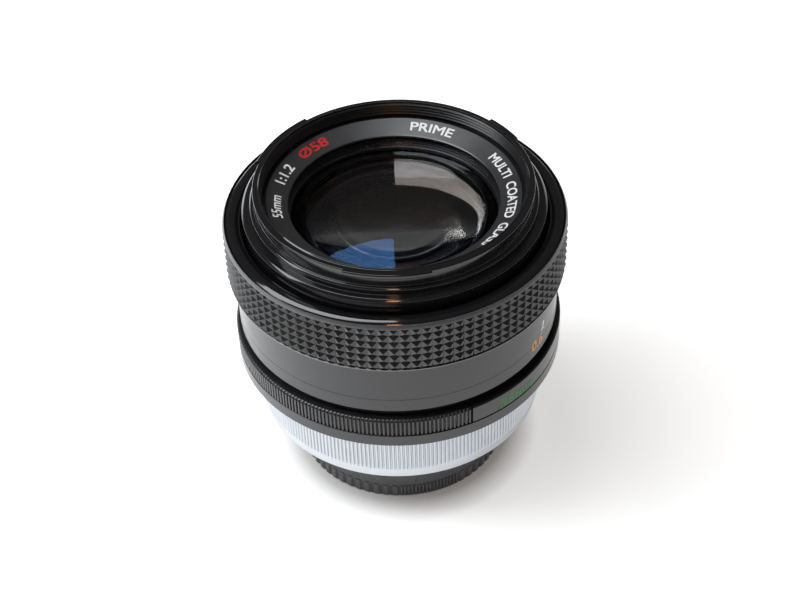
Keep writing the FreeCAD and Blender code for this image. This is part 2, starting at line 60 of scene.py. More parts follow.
def node_radius(node):
    """Outer radius of a ring node, from its widest reach across the axis."""
    low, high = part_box(node)
    return max(high[0], high[1], -low[0], -low[1]) / MM


# --- sizes taken from the frame ---------------------------------------------------------
RIM_TOP = node_top("filter_ring")
FRONT_R = node_radius("filter_ring")
GRIP_TOP = node_top("focus_grip_ring")
GRIP_FLANGE_BOTTOM = node_bottom("focus_grip_ring")
GRIP_BOTTOM = GRIP_FLANGE_BOTTOM + 3.1
GRIP_R = node_radius("focus_grip_ring")
TRIM_TOP = node_top("focus_trim_ring")
TRIM_R = node_radius("focus_trim_ring")
SKIRT_R = node_radius("distance_scale_skirt")
SKIRT_BOTTOM = node_bottom("distance_scale_skirt")
RING_R = node_radius("aperture_ring")
RING_BOTTOM = node_bottom("aperture_ring")
RING_TOP = node_top("aperture_ring")
SEGMENT_BOTTOM = node_bottom("depth_scale_segment")
BREECH_R = node_radius("breech_lock_ring")
BREECH_BOTTOM = node_bottom("breech_lock_ring")
BREECH_TOP = node_top("breech_lock_ring")
CAP_R = node_radius("rear_cap")
CAP_TOP = node_top("rear_cap")
NAME_R = node_radius("name_ring")
NAME_BOTTOM = node_bottom("name_ring")
SLEEVE_R = node_radius("main_barrel")

# --- details of those pieces ------------------------------------------------------------
RIM_R = 30.6
LUG_R = 31.3
MOUTH_R = 29.05
THREAD_CREST_R = 28.62
THREAD_ROOT_R = 29.0
THREAD_PITCH = 0.75
NAME_INNER_R = 23.1
NAME_SLOPE_LOW = (23.3, 69.85)
NAME_SLOPE_HIGH = (27.8, 71.4)
SKIRT_BORE = 35.3
TRIM_BORE = 33.9
TRIM_SEAT = TRIM_TOP - 1.2
BREECH_BORE = 31.98
CAP_BORE = 23.5
CAP_FLOOR = 2.0
RING_STRIP_TOP = RING_BOTTOM + 3.0
LUG_ARCS = ((-21.0, 34.3), (116.8, 16.5), (-141.0, 34.3))
RIBS_START, RIBS_END = -118.0, 23.9
SCALE_START, SCALE_END = 24.3, 181.6
INDEX_AZIMUTH = 108.0
INFINITY_AZIMUTH = 227.0
FOCUS_SWEEP = 170.0
FOCAL_LENGTH = 55.0
APERTURE_SWEEP = 60.0
METRES_PER_FOOT = 0.3048
CAP_RIBS = 61
FINE_CAP_RIBS = 17
FLUTES = 224
RING_RIBS = 256
KNURL_COLUMNS = 103
KNURL_ROWS = 6
KNURL_PITCH = 360.0 / KNURL_COLUMNS

# One rib, flute or cap rib as (share of the pitch, height from 0 in the groove to 1 on the rib).
RIB_SHAPE = ((0.0, 0.0), (0.12, 0.15), (0.28, 0.95), (0.4, 1.0), (0.6, 1.0), (0.72, 0.95), (0.88, 0.15))
FLUTE_SHAPE = (
    (0.0, 0.0), (0.1, 0.08), (0.22, 0.75), (0.34, 0.97),
    (0.5, 1.0), (0.66, 0.97), (0.78, 0.75), (0.9, 0.08),
)
CAP_RIB_SHAPE = ((0.0, 0.0), (0.2, 0.1), (0.3, 0.8), (0.38, 1.0), (0.74, 1.0), (0.82, 0.8), (0.92, 0.1))


# --- mesh helpers -----------------------------------------------------------------------

def new_object(name, vertices, faces, smooth_angle=None):
    """A mesh object from points in millimetres; faces meeting under smooth_angle are smooth."""
    mesh = bpy.data.meshes.new(name)
    mesh.from_pydata([(x * MM, y * MM, z * MM) for x, y, z in vertices], [], faces)
    mesh.validate()
    obj = bpy.data.objects.new(name, mesh)
    bpy.context.scene.collection.objects.link(obj)
    if smooth_angle is not None:
        mesh.shade_smooth()
        mesh.set_sharp_from_angle(angle=math.radians(smooth_angle))
        weighted = obj.modifiers.new("even_normals", "WEIGHTED_NORMAL")
        weighted.keep_sharp = True
    return obj


def polar(radius, azimuth, height):
    """A point in millimetres from its distance to the axis, its azimuth and its height."""
    angle = math.radians(azimuth) - QUARTER
    return (radius * math.cos(angle), radius * math.sin(angle), height)


def eased(profile, radius=0.08, steps=3):
    """Round every corner of a closed (radius, height) profile by a small arc."""
    points = []
    count = len(profile)
    for index in range(count):
        corner = Vector(profile[index])
        before = Vector(profile[index - 1]) - corner
        after = Vector(profile[(index + 1) % count]) - corner
        reach = min(radius, 0.45 * before.length, 0.45 * after.length)
        start = corner + before.normalized() * reach
        end = corner + after.normalized() * reach
        for step in range(steps + 1):
            t = step / steps
            blend = (1 - t) ** 2 * start + 2 * t * (1 - t) * corner + t * t * end
            points.append((blend.x, blend.y))
    return points


def stations(count, start, sweep):
    """Azimuths of a lathe; a full turn doesn't repeat its first one."""
    steps = count if sweep >= 360 else count + 1
    return [start + sweep * step / count for step in range(steps)]


def lathe(name, profile, segments, start=0.0, sweep=360.0):
    """Sweep a closed profile about the axis; a part turn gets flat end faces."""
    azimuths = stations(segments, start, sweep)
    rings = [[polar(r, azimuth, z) for r, z in profile] for azimuth in azimuths]
    return bridged(name, rings, sweep >= 360, 35)


def bridged(name, rings, closed, smooth_angle):
    """Join equal rings of points side by side into one closed shell."""
    size = len(rings[0])
    vertices = [point for ring in rings for point in ring]
    faces = []
    last = len(rings) if closed else len(rings) - 1
    for ring in range(last):
        here = ring * size
        there = ((ring + 1) % len(rings)) * size
        for index in range(size):
            following = (index + 1) % size
            faces.append((here + index, there + index, there + following, here + following))
    if not closed:
        end = (len(rings) - 1) * size
        faces.append(tuple(range(size)))
        faces.append(tuple(end + index for index in reversed(range(size))))
    return new_object(name, vertices, faces, smooth_angle)


def rib_marks(count, shape, start=0.0, sweep=360.0):
    """(azimuth, level) marks of equal ribs that follow one rib's shape."""
    pitch = sweep / count
    return [(start + (rib + share) * pitch, level) for rib in range(count) for share, level in shape]


def ribbed_lathe(name, rows, marks, closed=True):
    """Lathe whose rows are (radius, height, depth): depth is how far the grooves cut in."""
    rings = []
    for azimuth, level in marks:
        rings.append([polar(r - depth * (1 - level), azimuth, z) for r, z, depth in rows])
    return bridged(name, rings, closed, 30)


def joined(name, objects):
    """Merge several mesh objects into the first one."""
    bpy.ops.object.select_all(action="DESELECT")
    for obj in objects:
        obj.select_set(True)
    bpy.context.view_layer.objects.active = objects[0]
    bpy.ops.object.join()
    objects[0].name = name
    return objects[0]


def finish_piece(obj, material, body, nodes=()):
    """Give a piece its material, its body and the nodes it stands for."""
    obj.data.materials.clear()
    obj.data.materials.append(material)
    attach(obj, body)
    if nodes:
        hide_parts(*nodes)
    return obj


# --- material helpers -------------------------------------------------------------------

class Nodes:
    """Short calls for building one node tree."""

    def __init__(self, name):
        self.material = bpy.data.materials.new(name)
        self.material.use_nodes = True
        self.tree = self.material.node_tree
        self.shader = self.tree.nodes["Principled BSDF"]
        self.position = self.tree.nodes.new("ShaderNodeTexCoord").outputs["Object"]

    def add(self, kind, **settings):
        node = self.tree.nodes.new(kind)
        for key, value in settings.items():
            setattr(node, key, value)
        return node

    def link(self, source, target):
        self.tree.links.new(source, target)

    def noise(self, scale, detail, stretch=None):
        """Cloudy noise from 0 to 1, with scale in waves per metre; stretch draws it out along an axis."""
        node = self.add("ShaderNodeTexNoise")
        node.inputs["Scale"].default_value = scale
        node.inputs["Detail"].default_value = detail
        node.inputs["Roughness"].default_value = 0.55
        source = self.position
        if stretch:
            mapping = self.add("ShaderNodeMapping")
            mapping.inputs["Scale"].default_value = stretch
            self.link(self.position, mapping.inputs["Vector"])
            source = mapping.outputs["Vector"]
        self.link(source, node.inputs["Vector"])
        return node.outputs["Fac"]

    def remap(self, source, low, high, to_low, to_high):
        """Turn the range low to high into to_low to to_high, and hold the ends."""
        node = self.add("ShaderNodeMapRange")
        values = (("From Min", low), ("From Max", high), ("To Min", to_low), ("To Max", to_high))
        for key, value in values:
            node.inputs[key].default_value = value
        self.link(source, node.inputs["Value"])
        return node.outputs["Result"]

    def mix(self, factor, first, second):
        """Blend two colours; the Mix node's colour inputs are sockets 6 and 7, and its output is 2."""
        node = self.add("ShaderNodeMix", data_type="RGBA")
        for socket, colour in ((node.inputs[6], first), (node.inputs[7], second)):
            if isinstance(colour, tuple):
                socket.default_value = (*colour, 1.0)
            else:
                self.link(colour, socket)
        self.link(factor, node.inputs[0])
        return node.outputs[2]

    def bump(self, height, strength, distance):
        node = self.add("ShaderNodeBump")
        node.inputs["Strength"].default_value = strength
        node.inputs["Distance"].default_value = distance
        self.link(height, node.inputs["Height"])
        return node.outputs["Normal"]

    def specks(self, scale, size):
        """Scattered round dust grains: 1 on a grain and 0 elsewhere."""
        cells = self.add("ShaderNodeTexVoronoi")
        cells.inputs["Scale"].default_value = scale
        cells.inputs["Randomness"].default_value = 1.0
        self.link(self.position, cells.inputs["Vector"])
        near = self.remap(cells.outputs["Distance"], size, size * 0.6, 0.0, 1.0)
        sparse = self.remap(cells.outputs["Color"], 0.74, 0.78, 0.0, 1.0)
        return self.times(near, sparse)

    def times(self, first, second):
        node = self.add("ShaderNodeMath", operation="MULTIPLY")
        self.link(first, node.inputs[0])
        self.link(second, node.inputs[1])
        return node.outputs[0]

    def reach(self):
        """Distance from the axis, in metres."""
        flat = self.add("ShaderNodeVectorMath", operation="MULTIPLY")
        flat.inputs[1].default_value = (1.0, 1.0, 0.0)
        self.link(self.position, flat.inputs[0])
        length = self.add("ShaderNodeVectorMath", operation="LENGTH")
        self.link(flat.outputs["Vector"], length.inputs[0])
        return length.outputs["Value"]

    def edges(self):
        """1 on convex edges, from the surface's own curvature."""
        geometry = self.add("ShaderNodeNewGeometry")
        return self.remap(geometry.outputs["Pointiness"], 0.53, 0.62, 0.0, 1.0)

    def set(self, **sockets):
        """Fill the shader's sockets, with values set directly and outputs linked."""
        for key, value in sockets.items():
            socket = self.shader.inputs[key.replace("_", " ")]
            if isinstance(value, (int, float, tuple)):
                socket.default_value = value
            else:
                self.link(value, socket)
        return self.material


def anodised(name, colour, low, high, grain=0.25, specks=0.35, level=0.5, edge_wear_and_highlight=None):
    """Black anodised aluminium: fine blasted grain, cloudy handling marks, dust, and maybe lighter edges
    that are part wear and part painted edge highlight.
    """
    n = Nodes(name)
    cloud = n.noise(180.0, 5.0)
    grainy = n.noise(9000.0, 2.0)
    dust = n.specks(900.0, 0.07)
    tone = n.mix(cloud, colour, tuple(min(1.0, 1.7 * c) for c in colour))
    # lighter convex edges: part wear, part painted edge highlight
    if edge_wear_and_highlight:
        tone = n.mix(n.edges(), tone, edge_wear_and_highlight)
    tone = n.mix(n.remap(dust, 0.0, 1.0, 0.0, specks), tone, (0.62, 0.6, 0.56))
    normal = n.bump(grainy, grain, 0.00002)
    rough = n.remap(cloud, 0.3, 0.7, low, high)
    return n.set(Base_Color=tone, Roughness=rough, Normal=normal, IOR=1.6, Specular_IOR_Level=level)


def chrome():
    """Satin chrome: silky fine grain round the ring with faint smudges."""
    n = Nodes("satin_chrome_detail")
    smudge = n.noise(140.0, 4.0)
    grain = n.noise(7000.0, 2.0)
    tone = n.mix(smudge, (0.57, 0.595, 0.625), (0.52, 0.545, 0.575))
    rough = n.remap(smudge, 0.3, 0.7, 0.34, 0.42)
    normal = n.bump(grain, 0.08, 0.00001)
    return n.set(Base_Color=tone, Metallic=1.0, Roughness=rough, Normal=normal)


def cap_plastic():
    """Moulded black plastic with a fine spark-eroded grain and scuffed rib tips."""
    n = Nodes("cap_plastic_detail")
    cloud = n.noise(260.0, 4.0)
    grain = n.noise(6500.0, 3.0)
    tone = n.mix(cloud, (0.05, 0.05, 0.054), (0.08, 0.081, 0.086))
    tone = n.mix(n.edges(), tone, (0.12, 0.12, 0.12))
    rough = n.remap(cloud, 0.3, 0.7, 0.24, 0.34)
    return n.set(Base_Color=tone, Roughness=rough, Normal=n.bump(grain, 0.12, 0.00002))


def paint(name, colour):
    """Enamel filled into engraved characters, slightly uneven."""
    n = Nodes(name)
    uneven = n.noise(1800.0, 3.0)
    dark = tuple(0.82 * c for c in colour)
    rough = n.remap(uneven, 0.3, 0.7, 0.35, 0.55)
    return n.set(Base_Color=n.mix(uneven, colour, dark), Roughness=rough)


def machined(name, colour, roughness):
    """Turned metal: fine rings of tool marks and a little tarnish."""
    n = Nodes(name)
    tarnish = n.noise(220.0, 4.0)
    marks = n.noise(4000.0, 2.0, stretch=(0.15, 0.15, 1.0))
    tone = n.mix(tarnish, colour, tuple(0.7 * c for c in colour))
    rough = n.remap(tarnish, 0.3, 0.7, roughness, roughness + 0.15)
    return n.set(Base_Color=tone, Metallic=1.0, Roughness=rough, Normal=n.bump(marks, 0.2, 0.00002))


def coated_glass(name, film, clear, tint=(0.97, 0.97, 0.95), index=1.6):
    """Polished glass with a film in nanometres, black past the radius that clear gives in mm."""
    n = Nodes(name)
    smear = n.noise(90.0, 5.0)
    n.shader.inputs["Thin Film Thickness"].default_value = film
    n.shader.inputs["Thin Film IOR"].default_value = 1.38
    painted = n.remap(n.reach(), (clear - 0.05) * MM, clear * MM, 0.0, 1.0)
    tone = n.mix(smear, tint, tuple(0.97 * c for c in tint))
    tone = n.mix(painted, tone, (0.006, 0.006, 0.006))
    rough = n.remap(smear, 0.45, 0.75, 0.03, 0.05)
    passing = n.remap(painted, 0.0, 1.0, 1.0, 0.0)
    return n.set(Base_Color=tone, Roughness=rough, IOR=index, Transmission_Weight=passing)


# --- camera, light and floor ------------------------------------------------------------

def camera():
    """A short telephoto view from in front and above, rolled slightly."""
    distance, elevation, roll, pan = 377.17, math.radians(41.77), math.radians(-2.13), math.radians(-0.18)
    aim_height = 41.88
    place = Vector((0, -distance * math.cos(elevation), aim_height + distance * math.sin(elevation)))
    forward = Vector((0, math.cos(elevation), -math.sin(elevation)))
    right = Vector((1, 0, 0))
    up = right.cross(forward)
    ahead = forward * math.cos(pan) + right * math.sin(pan)
    side = right * math.cos(pan) - forward * math.sin(pan)
    rolled_side = side * math.cos(roll) + up * math.sin(roll)
    rolled_up = up * math.cos(roll) - side * math.sin(roll)
    data = bpy.data.cameras.new("studio_camera")
    data.sensor_width = 36.0
    data.lens = 75.52
    data.clip_start = 0.01
    data.clip_end = 20.0
    obj = bpy.data.objects.new("studio_camera", data)
    rotation = Matrix((rolled_side, rolled_up, -ahead)).transposed()
    obj.matrix_world = Matrix.Translation(place * MM) @ rotation.to_4x4()
    bpy.context.scene.collection.objects.link(obj)
    bpy.context.scene.camera = obj


def panel(name, place, target, size, power, colour):
    """A soft rectangular light at a place in metres, facing a target."""
    data = bpy.data.lights.new(name, "AREA")
    data.shape = "RECTANGLE"
    data.size, data.size_y = size
    data.energy = power
    data.color = colour
    obj = bpy.data.objects.new(data.name, data)
    obj.location = place
    obj.rotation_euler = (Vector(target) - Vector(place)).to_track_quat("-Z", "Y").to_euler()
    bpy.context.scene.collection.objects.link(obj)


def floor():
    """A large seamless white floor whose glow is painted light: brighter and cooler towards the left as
    painted window light, warmer on the right as painted warm shade, and almost dark round the cap as a
    painted contact shadow.
    """
    half = 3.0
    corners = [(-half, -half, 0), (half, -half, 0), (half, half, 0), (-half, half, 0)]
    mesh = bpy.data.meshes.new("floor")
    mesh.from_pydata(corners, [], [(0, 1, 2, 3)])
    obj = bpy.data.objects.new("floor", mesh)
    bpy.context.scene.collection.objects.link(obj)
    n = Nodes("floor_white")
    cloud = n.noise(1.5, 2.0)
    tone = n.mix(cloud, (0.9, 0.9, 0.9), (0.87, 0.87, 0.87))
    axes = n.add("ShaderNodeSeparateXYZ")
    n.link(n.position, axes.inputs["Vector"])
    # painted window light: the floor's glow is stronger towards the left
    painted_floor_light = n.remap(axes.outputs["X"], -0.35, 0.06, 1.7, 0.51)
    # painted contact shadow: the glow fades to almost nothing round the foot of the cap
    near = n.remap(n.reach(), 0.0255, 0.033, 0.18, 1.0)
    # painted light colour: cool light on the left, warm shade on the right
    painted_light_hue = n.mix(n.remap(axes.outputs["X"], -0.1, 0.15, 0.0, 1.0), (0.95, 0.98, 1.0), (1.0, 0.975, 0.95))
    n.set(Base_Color=tone, Roughness=0.6, Emission_Strength=n.times(painted_floor_light, near), Emission_Color=painted_light_hue)
    mesh.materials.append(n.material)


def studio():
    """One large window overhead on the left, a weak fill from all round and a small warm lamp in front."""
    world = bpy.data.worlds.new("room")
    world.use_nodes = True
    world.node_tree.nodes["Background"].inputs["Color"].default_value = (0.10, 0.097, 0.092, 1.0)
    bpy.context.scene.world = world
    panel("window", (-1.27, -0.02, 1.35), (-1.27, -0.02, 0.0), (2.5, 0.78), 36.0, (0.94, 0.975, 1.0))
    panel("warm_lamp", (-0.06, -1.02, 1.15), (0.0, 0.0, 0.05), (0.16, 0.16), 0.9, (1.0, 0.43, 0.15))
    bpy.context.scene.view_settings.view_transform = "Standard"


# --- front barrel -----------------------------------------------------------------------

def shoulder_profile():
    """Outside of the front barrel from the skirt up to the rim, then the thread and its seat."""
    wall = 0.9
    skirt_bottom, ledge, collar_top = 59.0, 69.8, 71.4
    collar_r = 31.45
    outside = [
        (FRONT_R - wall, skirt_bottom), (FRONT_R, skirt_bottom), (FRONT_R, ledge - 0.55), (32.75, ledge),
        (collar_r, ledge + 0.03), (collar_r, collar_top - 0.4), (collar_r - 0.35, collar_top - 0.05),
        (RIM_R + 0.05, collar_top), (RIM_R, collar_top + 0.1), (RIM_R, RIM_TOP - 0.5),
        (RIM_R - 0.15, RIM_TOP - 0.32), (29.45, RIM_TOP - 0.26), (29.2, RIM_TOP), (MOUTH_R, RIM_TOP),
    ]
    thread_bottom, flank, crest_width = 71.1, 0.32, 0.11
    thread = []
    height = RIM_TOP - 0.45
    while height - THREAD_PITCH > thread_bottom:
        thread.append((THREAD_ROOT_R, height))
        thread.append((THREAD_CREST_R, height - flank))
        thread.append((THREAD_CREST_R, height - flank - crest_width))
        height -= THREAD_PITCH
    relief_r, name_seat, web_top, web_bottom, cell_bore = 29.2, 68.95, 66.6, 65.0, 25.2
    seat = [
        (relief_r, height), (relief_r, thread_bottom), (27.97, thread_bottom), (27.97, name_seat),
        (26.9, name_seat), (26.9, web_top), (cell_bore, web_top), (cell_bore, web_bottom),
        (FRONT_R - wall, web_bottom),
    ]
    return outside + thread + seat


def filter_ring(material, thread_material):
    """Front barrel with its lugs; the thread has a duller finish than the outside."""
    parts = [lathe("filter_ring_body", eased(shoulder_profile(), 0.07), 360)]
    root, bottom, top = RIM_R - 0.3, RIM_TOP - 1.2, RIM_TOP - 0.25
    lug = [(root, bottom), (LUG_R, bottom), (LUG_R, top - 0.25), (LUG_R - 0.2, top), (root, top)]
    for start, sweep in LUG_ARCS:
        parts.append(lathe("lug", eased(lug, 0.08), 60, start, sweep))
    shell = joined("front_barrel_shell", parts)
    finish_piece(shell, material, "front_barrel", ["filter_ring"])
    shell.data.materials.append(thread_material)
    for face in shell.data.polygons:
        if face.center.xy.length < (MOUTH_R + 0.2) * MM:
            face.material_index = 1


def name_ring(material):
    """Sloping ring that carries the lettering."""
    low_r, low_z = NAME_SLOPE_LOW
    high_r, high_z = NAME_SLOPE_HIGH
    thick = 1.2
    foot_bore = 27.0
    profile = [
        (NAME_R, NAME_BOTTOM), (NAME_R, high_z - 0.15), (high_r, high_z), (low_r, low_z),
        (NAME_INNER_R, low_z - 0.15), (NAME_INNER_R, low_z - 0.6), (foot_bore, high_z - thick),
        (foot_bore, NAME_BOTTOM),
    ]
    ring = lathe("name_plate_ring", eased(profile, 0.05), 360)
    return finish_piece(ring, material, "front_barrel", ["name_ring"])


def retaining_ring(material):
    """Ring that holds the front glass, with fine turned steps on its bevel."""
    bottom = node_bottom("front_retaining_ring")
    top = node_top("front_retaining_ring")
    outer = 24.28
    profile = [(outer, bottom), (outer, top - 0.15), (23.75, top)]
    inward, downward = 0.27, 0.45
    for step in range(3):
        radius = 23.7 - step * inward
        sunk = top - step * downward
        profile.append((radius, sunk - 0.12))
        profile.append((radius - 0.03, sunk - 0.5))
    profile += [(22.8, top - 1.5), (22.63, bottom + 0.4), (22.92, bottom)]
    ring = lathe("front_glass_ring", eased(profile, 0.04), 288)
    return finish_piece(ring, material, "front_barrel", ["front_retaining_ring"])


def front_glass(front_coating, rear_coating):
    """Front element with true spherical faces, smooth enough for clean reflections."""
    front_apex = node_top("front_element")
    rear_apex = node_bottom("front_element")
    front_curve, rear_curve = 46.0, 100.0
    rim, curved_rim = 22.9, 19.8
    rings = 40
    profile = []
    for step in range(rings + 1):
        r = rim * step / rings
        profile.append((r, front_apex - front_curve + math.sqrt(front_curve ** 2 - r * r)))
    for step in reversed(range(rings + 1)):
        r = rim * step / rings
        sunk = min(r, curved_rim)
        profile.append((r, rear_apex + rear_curve - math.sqrt(rear_curve ** 2 - sunk ** 2)))
    lens = domed("front_glass", profile)
    finish_piece(lens, front_coating, "front_barrel", ["front_element"])
    lens.data.materials.append(rear_coating)
    for face in lens.data.polygons:
        face.material_index = 1 if face.normal.z < 0 else 0


def domed(name, profile, segments=192):
    """Lathe of a profile that starts and ends on the axis, with single points at both poles."""
    vertices = [(0.0, 0.0, profile[0][1])]
    inner = profile[1:-1]
    for r, z in inner:
        for segment in range(segments):
            vertices.append(polar(r, 360.0 * segment / segments, z))
    vertices.append((0.0, 0.0, profile[-1][1]))
    last = len(vertices) - 1
    faces = []
    for segment in range(segments):
        following = (segment + 1) % segments
        faces.append((0, 1 + segment, 1 + following))
        base = 1 + (len(inner) - 1) * segments
        faces.append((last, base + following, base + segment))
        for row in range(len(inner) - 1):
            a = 1 + row * segments
            b = a + segments
            faces.append((a + segment, b + segment, b + following, a + following))
    return new_object(name, vertices, faces, 40)


# --- focus ring -------------------------------------------------------------------------

def valley(row, column):
    """Number of a valley point of the knurl; the columns close round the grip."""
    return row * KNURL_COLUMNS + column % KNURL_COLUMNS


def pyramid_field(low, high):
    """Valley points in rows and columns, with a small pyramid, its tip slightly blunted, on every cell."""
    base_r, tip_r, blunt = GRIP_R - 0.6, GRIP_R - 0.03, 0.12
    rise = (high - low) / KNURL_ROWS
    vertices = []
    faces = []
    for row in range(KNURL_ROWS + 1):
        for column in range(KNURL_COLUMNS):
            vertices.append(polar(base_r, column * KNURL_PITCH, low + row * rise))
    for row in range(KNURL_ROWS):
        for column in range(KNURL_COLUMNS):
            first = len(vertices)
            for across, up in ((-1, -1), (1, -1), (1, 1), (-1, 1)):
                azimuth = (column + 0.5 + across * blunt / 2) * KNURL_PITCH
                height = low + (row + 0.5 + up * blunt / 2) * rise
                vertices.append(polar(tip_r, azimuth, height))
            tip = [first, first + 1, first + 2, first + 3]
            base = [
                valley(row, column), valley(row, column + 1),
                valley(row + 1, column + 1), valley(row + 1, column),
            ]
            faces.append(tuple(tip))
            for side in range(4):
                following = (side + 1) % 4
                faces.append((base[side], base[following], tip[following], tip[side]))
    return vertices, faces


def knurled_grip(material):
    """Focus grip: the knurl, closed by rings of points along the grip's plain edges and bore."""
    knurl_top = GRIP_TOP - 0.95
    vertices, faces = pyramid_field(GRIP_BOTTOM + 0.45, knurl_top - 0.1)
    rings = [[valley(0, column) for column in range(KNURL_COLUMNS)]]
    for radius, height in grip_outline(knurl_top):
        first = len(vertices)
        vertices += [polar(radius, column * KNURL_PITCH, height) for column in range(KNURL_COLUMNS)]
        rings.append(list(range(first, len(vertices))))
    rings.append([valley(KNURL_ROWS, column) for column in range(KNURL_COLUMNS)])
    for here, there in zip(rings, rings[1:]):
        for column in range(KNURL_COLUMNS):
            following = (column + 1) % KNURL_COLUMNS
            faces.append((here[following], here[column], there[column], there[following]))
    grip = new_object("knurled_grip", vertices, faces, 25)
    return finish_piece(grip, material, "focus_ring", ["focus_grip_ring"])


def grip_outline(knurl_top):
    """Plain part of the grip from the knurl's lower edge, through the bore, up to its upper edge."""
    flange_bore, bore, flange_top = 31.0, 34.2, 54.2
    seat_r = TRIM_R + 0.05
    return [
        (GRIP_R - 0.25, GRIP_BOTTOM + 0.3), (GRIP_R - 0.35, GRIP_BOTTOM), (SKIRT_BORE, GRIP_BOTTOM),
        (SKIRT_BORE, GRIP_FLANGE_BOTTOM), (flange_bore, GRIP_FLANGE_BOTTOM), (flange_bore, flange_top),
        (bore, flange_top), (bore, TRIM_SEAT), (seat_r, TRIM_SEAT), (seat_r, GRIP_TOP),
        (GRIP_R - 0.5, GRIP_TOP), (GRIP_R - 0.42, GRIP_TOP - 0.08), (GRIP_R - 0.1, knurl_top + 0.08),
        (GRIP_R - 0.12, knurl_top),
    ]


def trim_ring(material):
    """Polished ring: a bevelled crown outside and a sunk lip inside."""
    lip = TRIM_TOP - 0.75
    profile = [
        (TRIM_BORE, TRIM_SEAT), (TRIM_R, TRIM_SEAT), (TRIM_R, TRIM_TOP - 0.85), (TRIM_R - 0.08, lip),
        (TRIM_R - 0.42, TRIM_TOP - 0.4), (TRIM_R - 1.05, TRIM_TOP), (35.3, TRIM_TOP),
        (34.6, TRIM_TOP - 0.3), (34.45, lip), (TRIM_BORE, lip),
    ]
    ring = lathe("polished_trim_ring", eased(profile, 0.15, 4), 360)
    return finish_piece(ring, material, "focus_ring", ["focus_trim_ring"])


def skirt(material):
    """Distance scale sleeve with a fine turned line near its foot."""
    line = 44.07
    profile = [
        (SKIRT_BORE, SKIRT_BOTTOM), (SKIRT_R - 0.15, SKIRT_BOTTOM), (SKIRT_R, SKIRT_BOTTOM + 0.15),
        (SKIRT_R, line), (SKIRT_R - 0.06, line + 0.06), (SKIRT_R, line + 0.12),
        (SKIRT_R, GRIP_BOTTOM), (SKIRT_BORE, GRIP_BOTTOM),
    ]
    sleeve = lathe("distance_sleeve", eased(profile, 0.05), 288)
    return finish_piece(sleeve, material, "focus_ring", ["distance_scale_skirt"])


# --- fixed scale, aperture ring, breech ring and cap ------------------------------------

def scale_segment(material):
    """Raised part of the fixed barrel that carries the depth-of-field scale."""
    profile = [
        (SLEEVE_R, SEGMENT_BOTTOM), (RING_R, SEGMENT_BOTTOM), (RING_R, RING_TOP - 0.3),
        (RING_R - 0.3, RING_TOP), (SLEEVE_R, RING_TOP),
    ]
    arc = lathe("depth_scale_arc", eased(profile, 0.07), 150, SCALE_START, SCALE_END - SCALE_START)
    return finish_piece(arc, material, "fixed_barrel", ["depth_scale_segment"])


def aperture_ring(material):
    """Plain number strip all round, with a crown of ribs on part of it."""
    bore = SLEEVE_R + 0.08
    strip_top = RING_STRIP_TOP
    profile = [
        (bore, RING_BOTTOM), (RING_R - 0.15, RING_BOTTOM), (RING_R, RING_BOTTOM + 0.15),
        (RING_R, strip_top - 0.1), (RING_R - 0.12, strip_top), (bore, strip_top),
    ]
    strip = lathe("aperture_strip", eased(profile, 0.06), 360)
    depth = 0.42
    rows = [
        (bore, strip_top - 0.4, 0.0), (RING_R - depth - 0.05, strip_top - 0.4, 0.0),
        (RING_R - depth, strip_top + 0.15, 0.0), (RING_R - 0.12, strip_top + 0.22, depth - 0.1),
        (RING_R, strip_top + 0.35, depth), (RING_R, RING_TOP - 0.5, depth),
        (RING_R - 0.18, RING_TOP - 0.22, depth - 0.16), (RING_R - depth - 0.1, RING_TOP - 0.02, 0.0),
        (RING_R - depth - 0.2, RING_TOP, 0.0), (bore, RING_TOP, 0.0),
    ]
    sweep = RIBS_END - RIBS_START
    count = round(RING_RIBS * sweep / 360.0)
    marks = rib_marks(count, RIB_SHAPE, RIBS_START, sweep) + [(RIBS_END, 0.0)]
    crown = ribbed_lathe("aperture_crown", rows, marks, closed=False)
    ring = joined("aperture_grip", [strip, crown])
    return finish_piece(ring, material, "aperture_ring", ["aperture_ring"])


def breech_ring(material):
    """Smooth band below, and rounded vertical flutes above it."""
    depth = 0.4
    foot_r = BREECH_R - 0.6
    flute_bottom = BREECH_BOTTOM + 2.7
    rows = [
        (BREECH_BORE, BREECH_BOTTOM, 0.0), (foot_r - 0.25, BREECH_BOTTOM, 0.0),
        (foot_r - 0.07, BREECH_BOTTOM + 0.07, 0.0), (foot_r, BREECH_BOTTOM + 0.25, 0.0),
        (foot_r, flute_bottom - 0.25, 0.0), (foot_r + 0.02, flute_bottom - 0.1, 0.0),
        (BREECH_R - 0.2, flute_bottom + 0.02, depth - 0.25), (BREECH_R, flute_bottom + 0.3, depth),
        (BREECH_R, BREECH_TOP - 0.6, depth), (BREECH_R - 0.2, BREECH_TOP - 0.4, depth - 0.2),
        (BREECH_R - 0.7, BREECH_TOP, 0.0), (BREECH_BORE, BREECH_TOP, 0.0),
    ]
    band = ribbed_lathe("breech_band", rows, rib_marks(FLUTES, FLUTE_SHAPE))
    return finish_piece(band, material, "breech_ring", ["breech_lock_ring"])


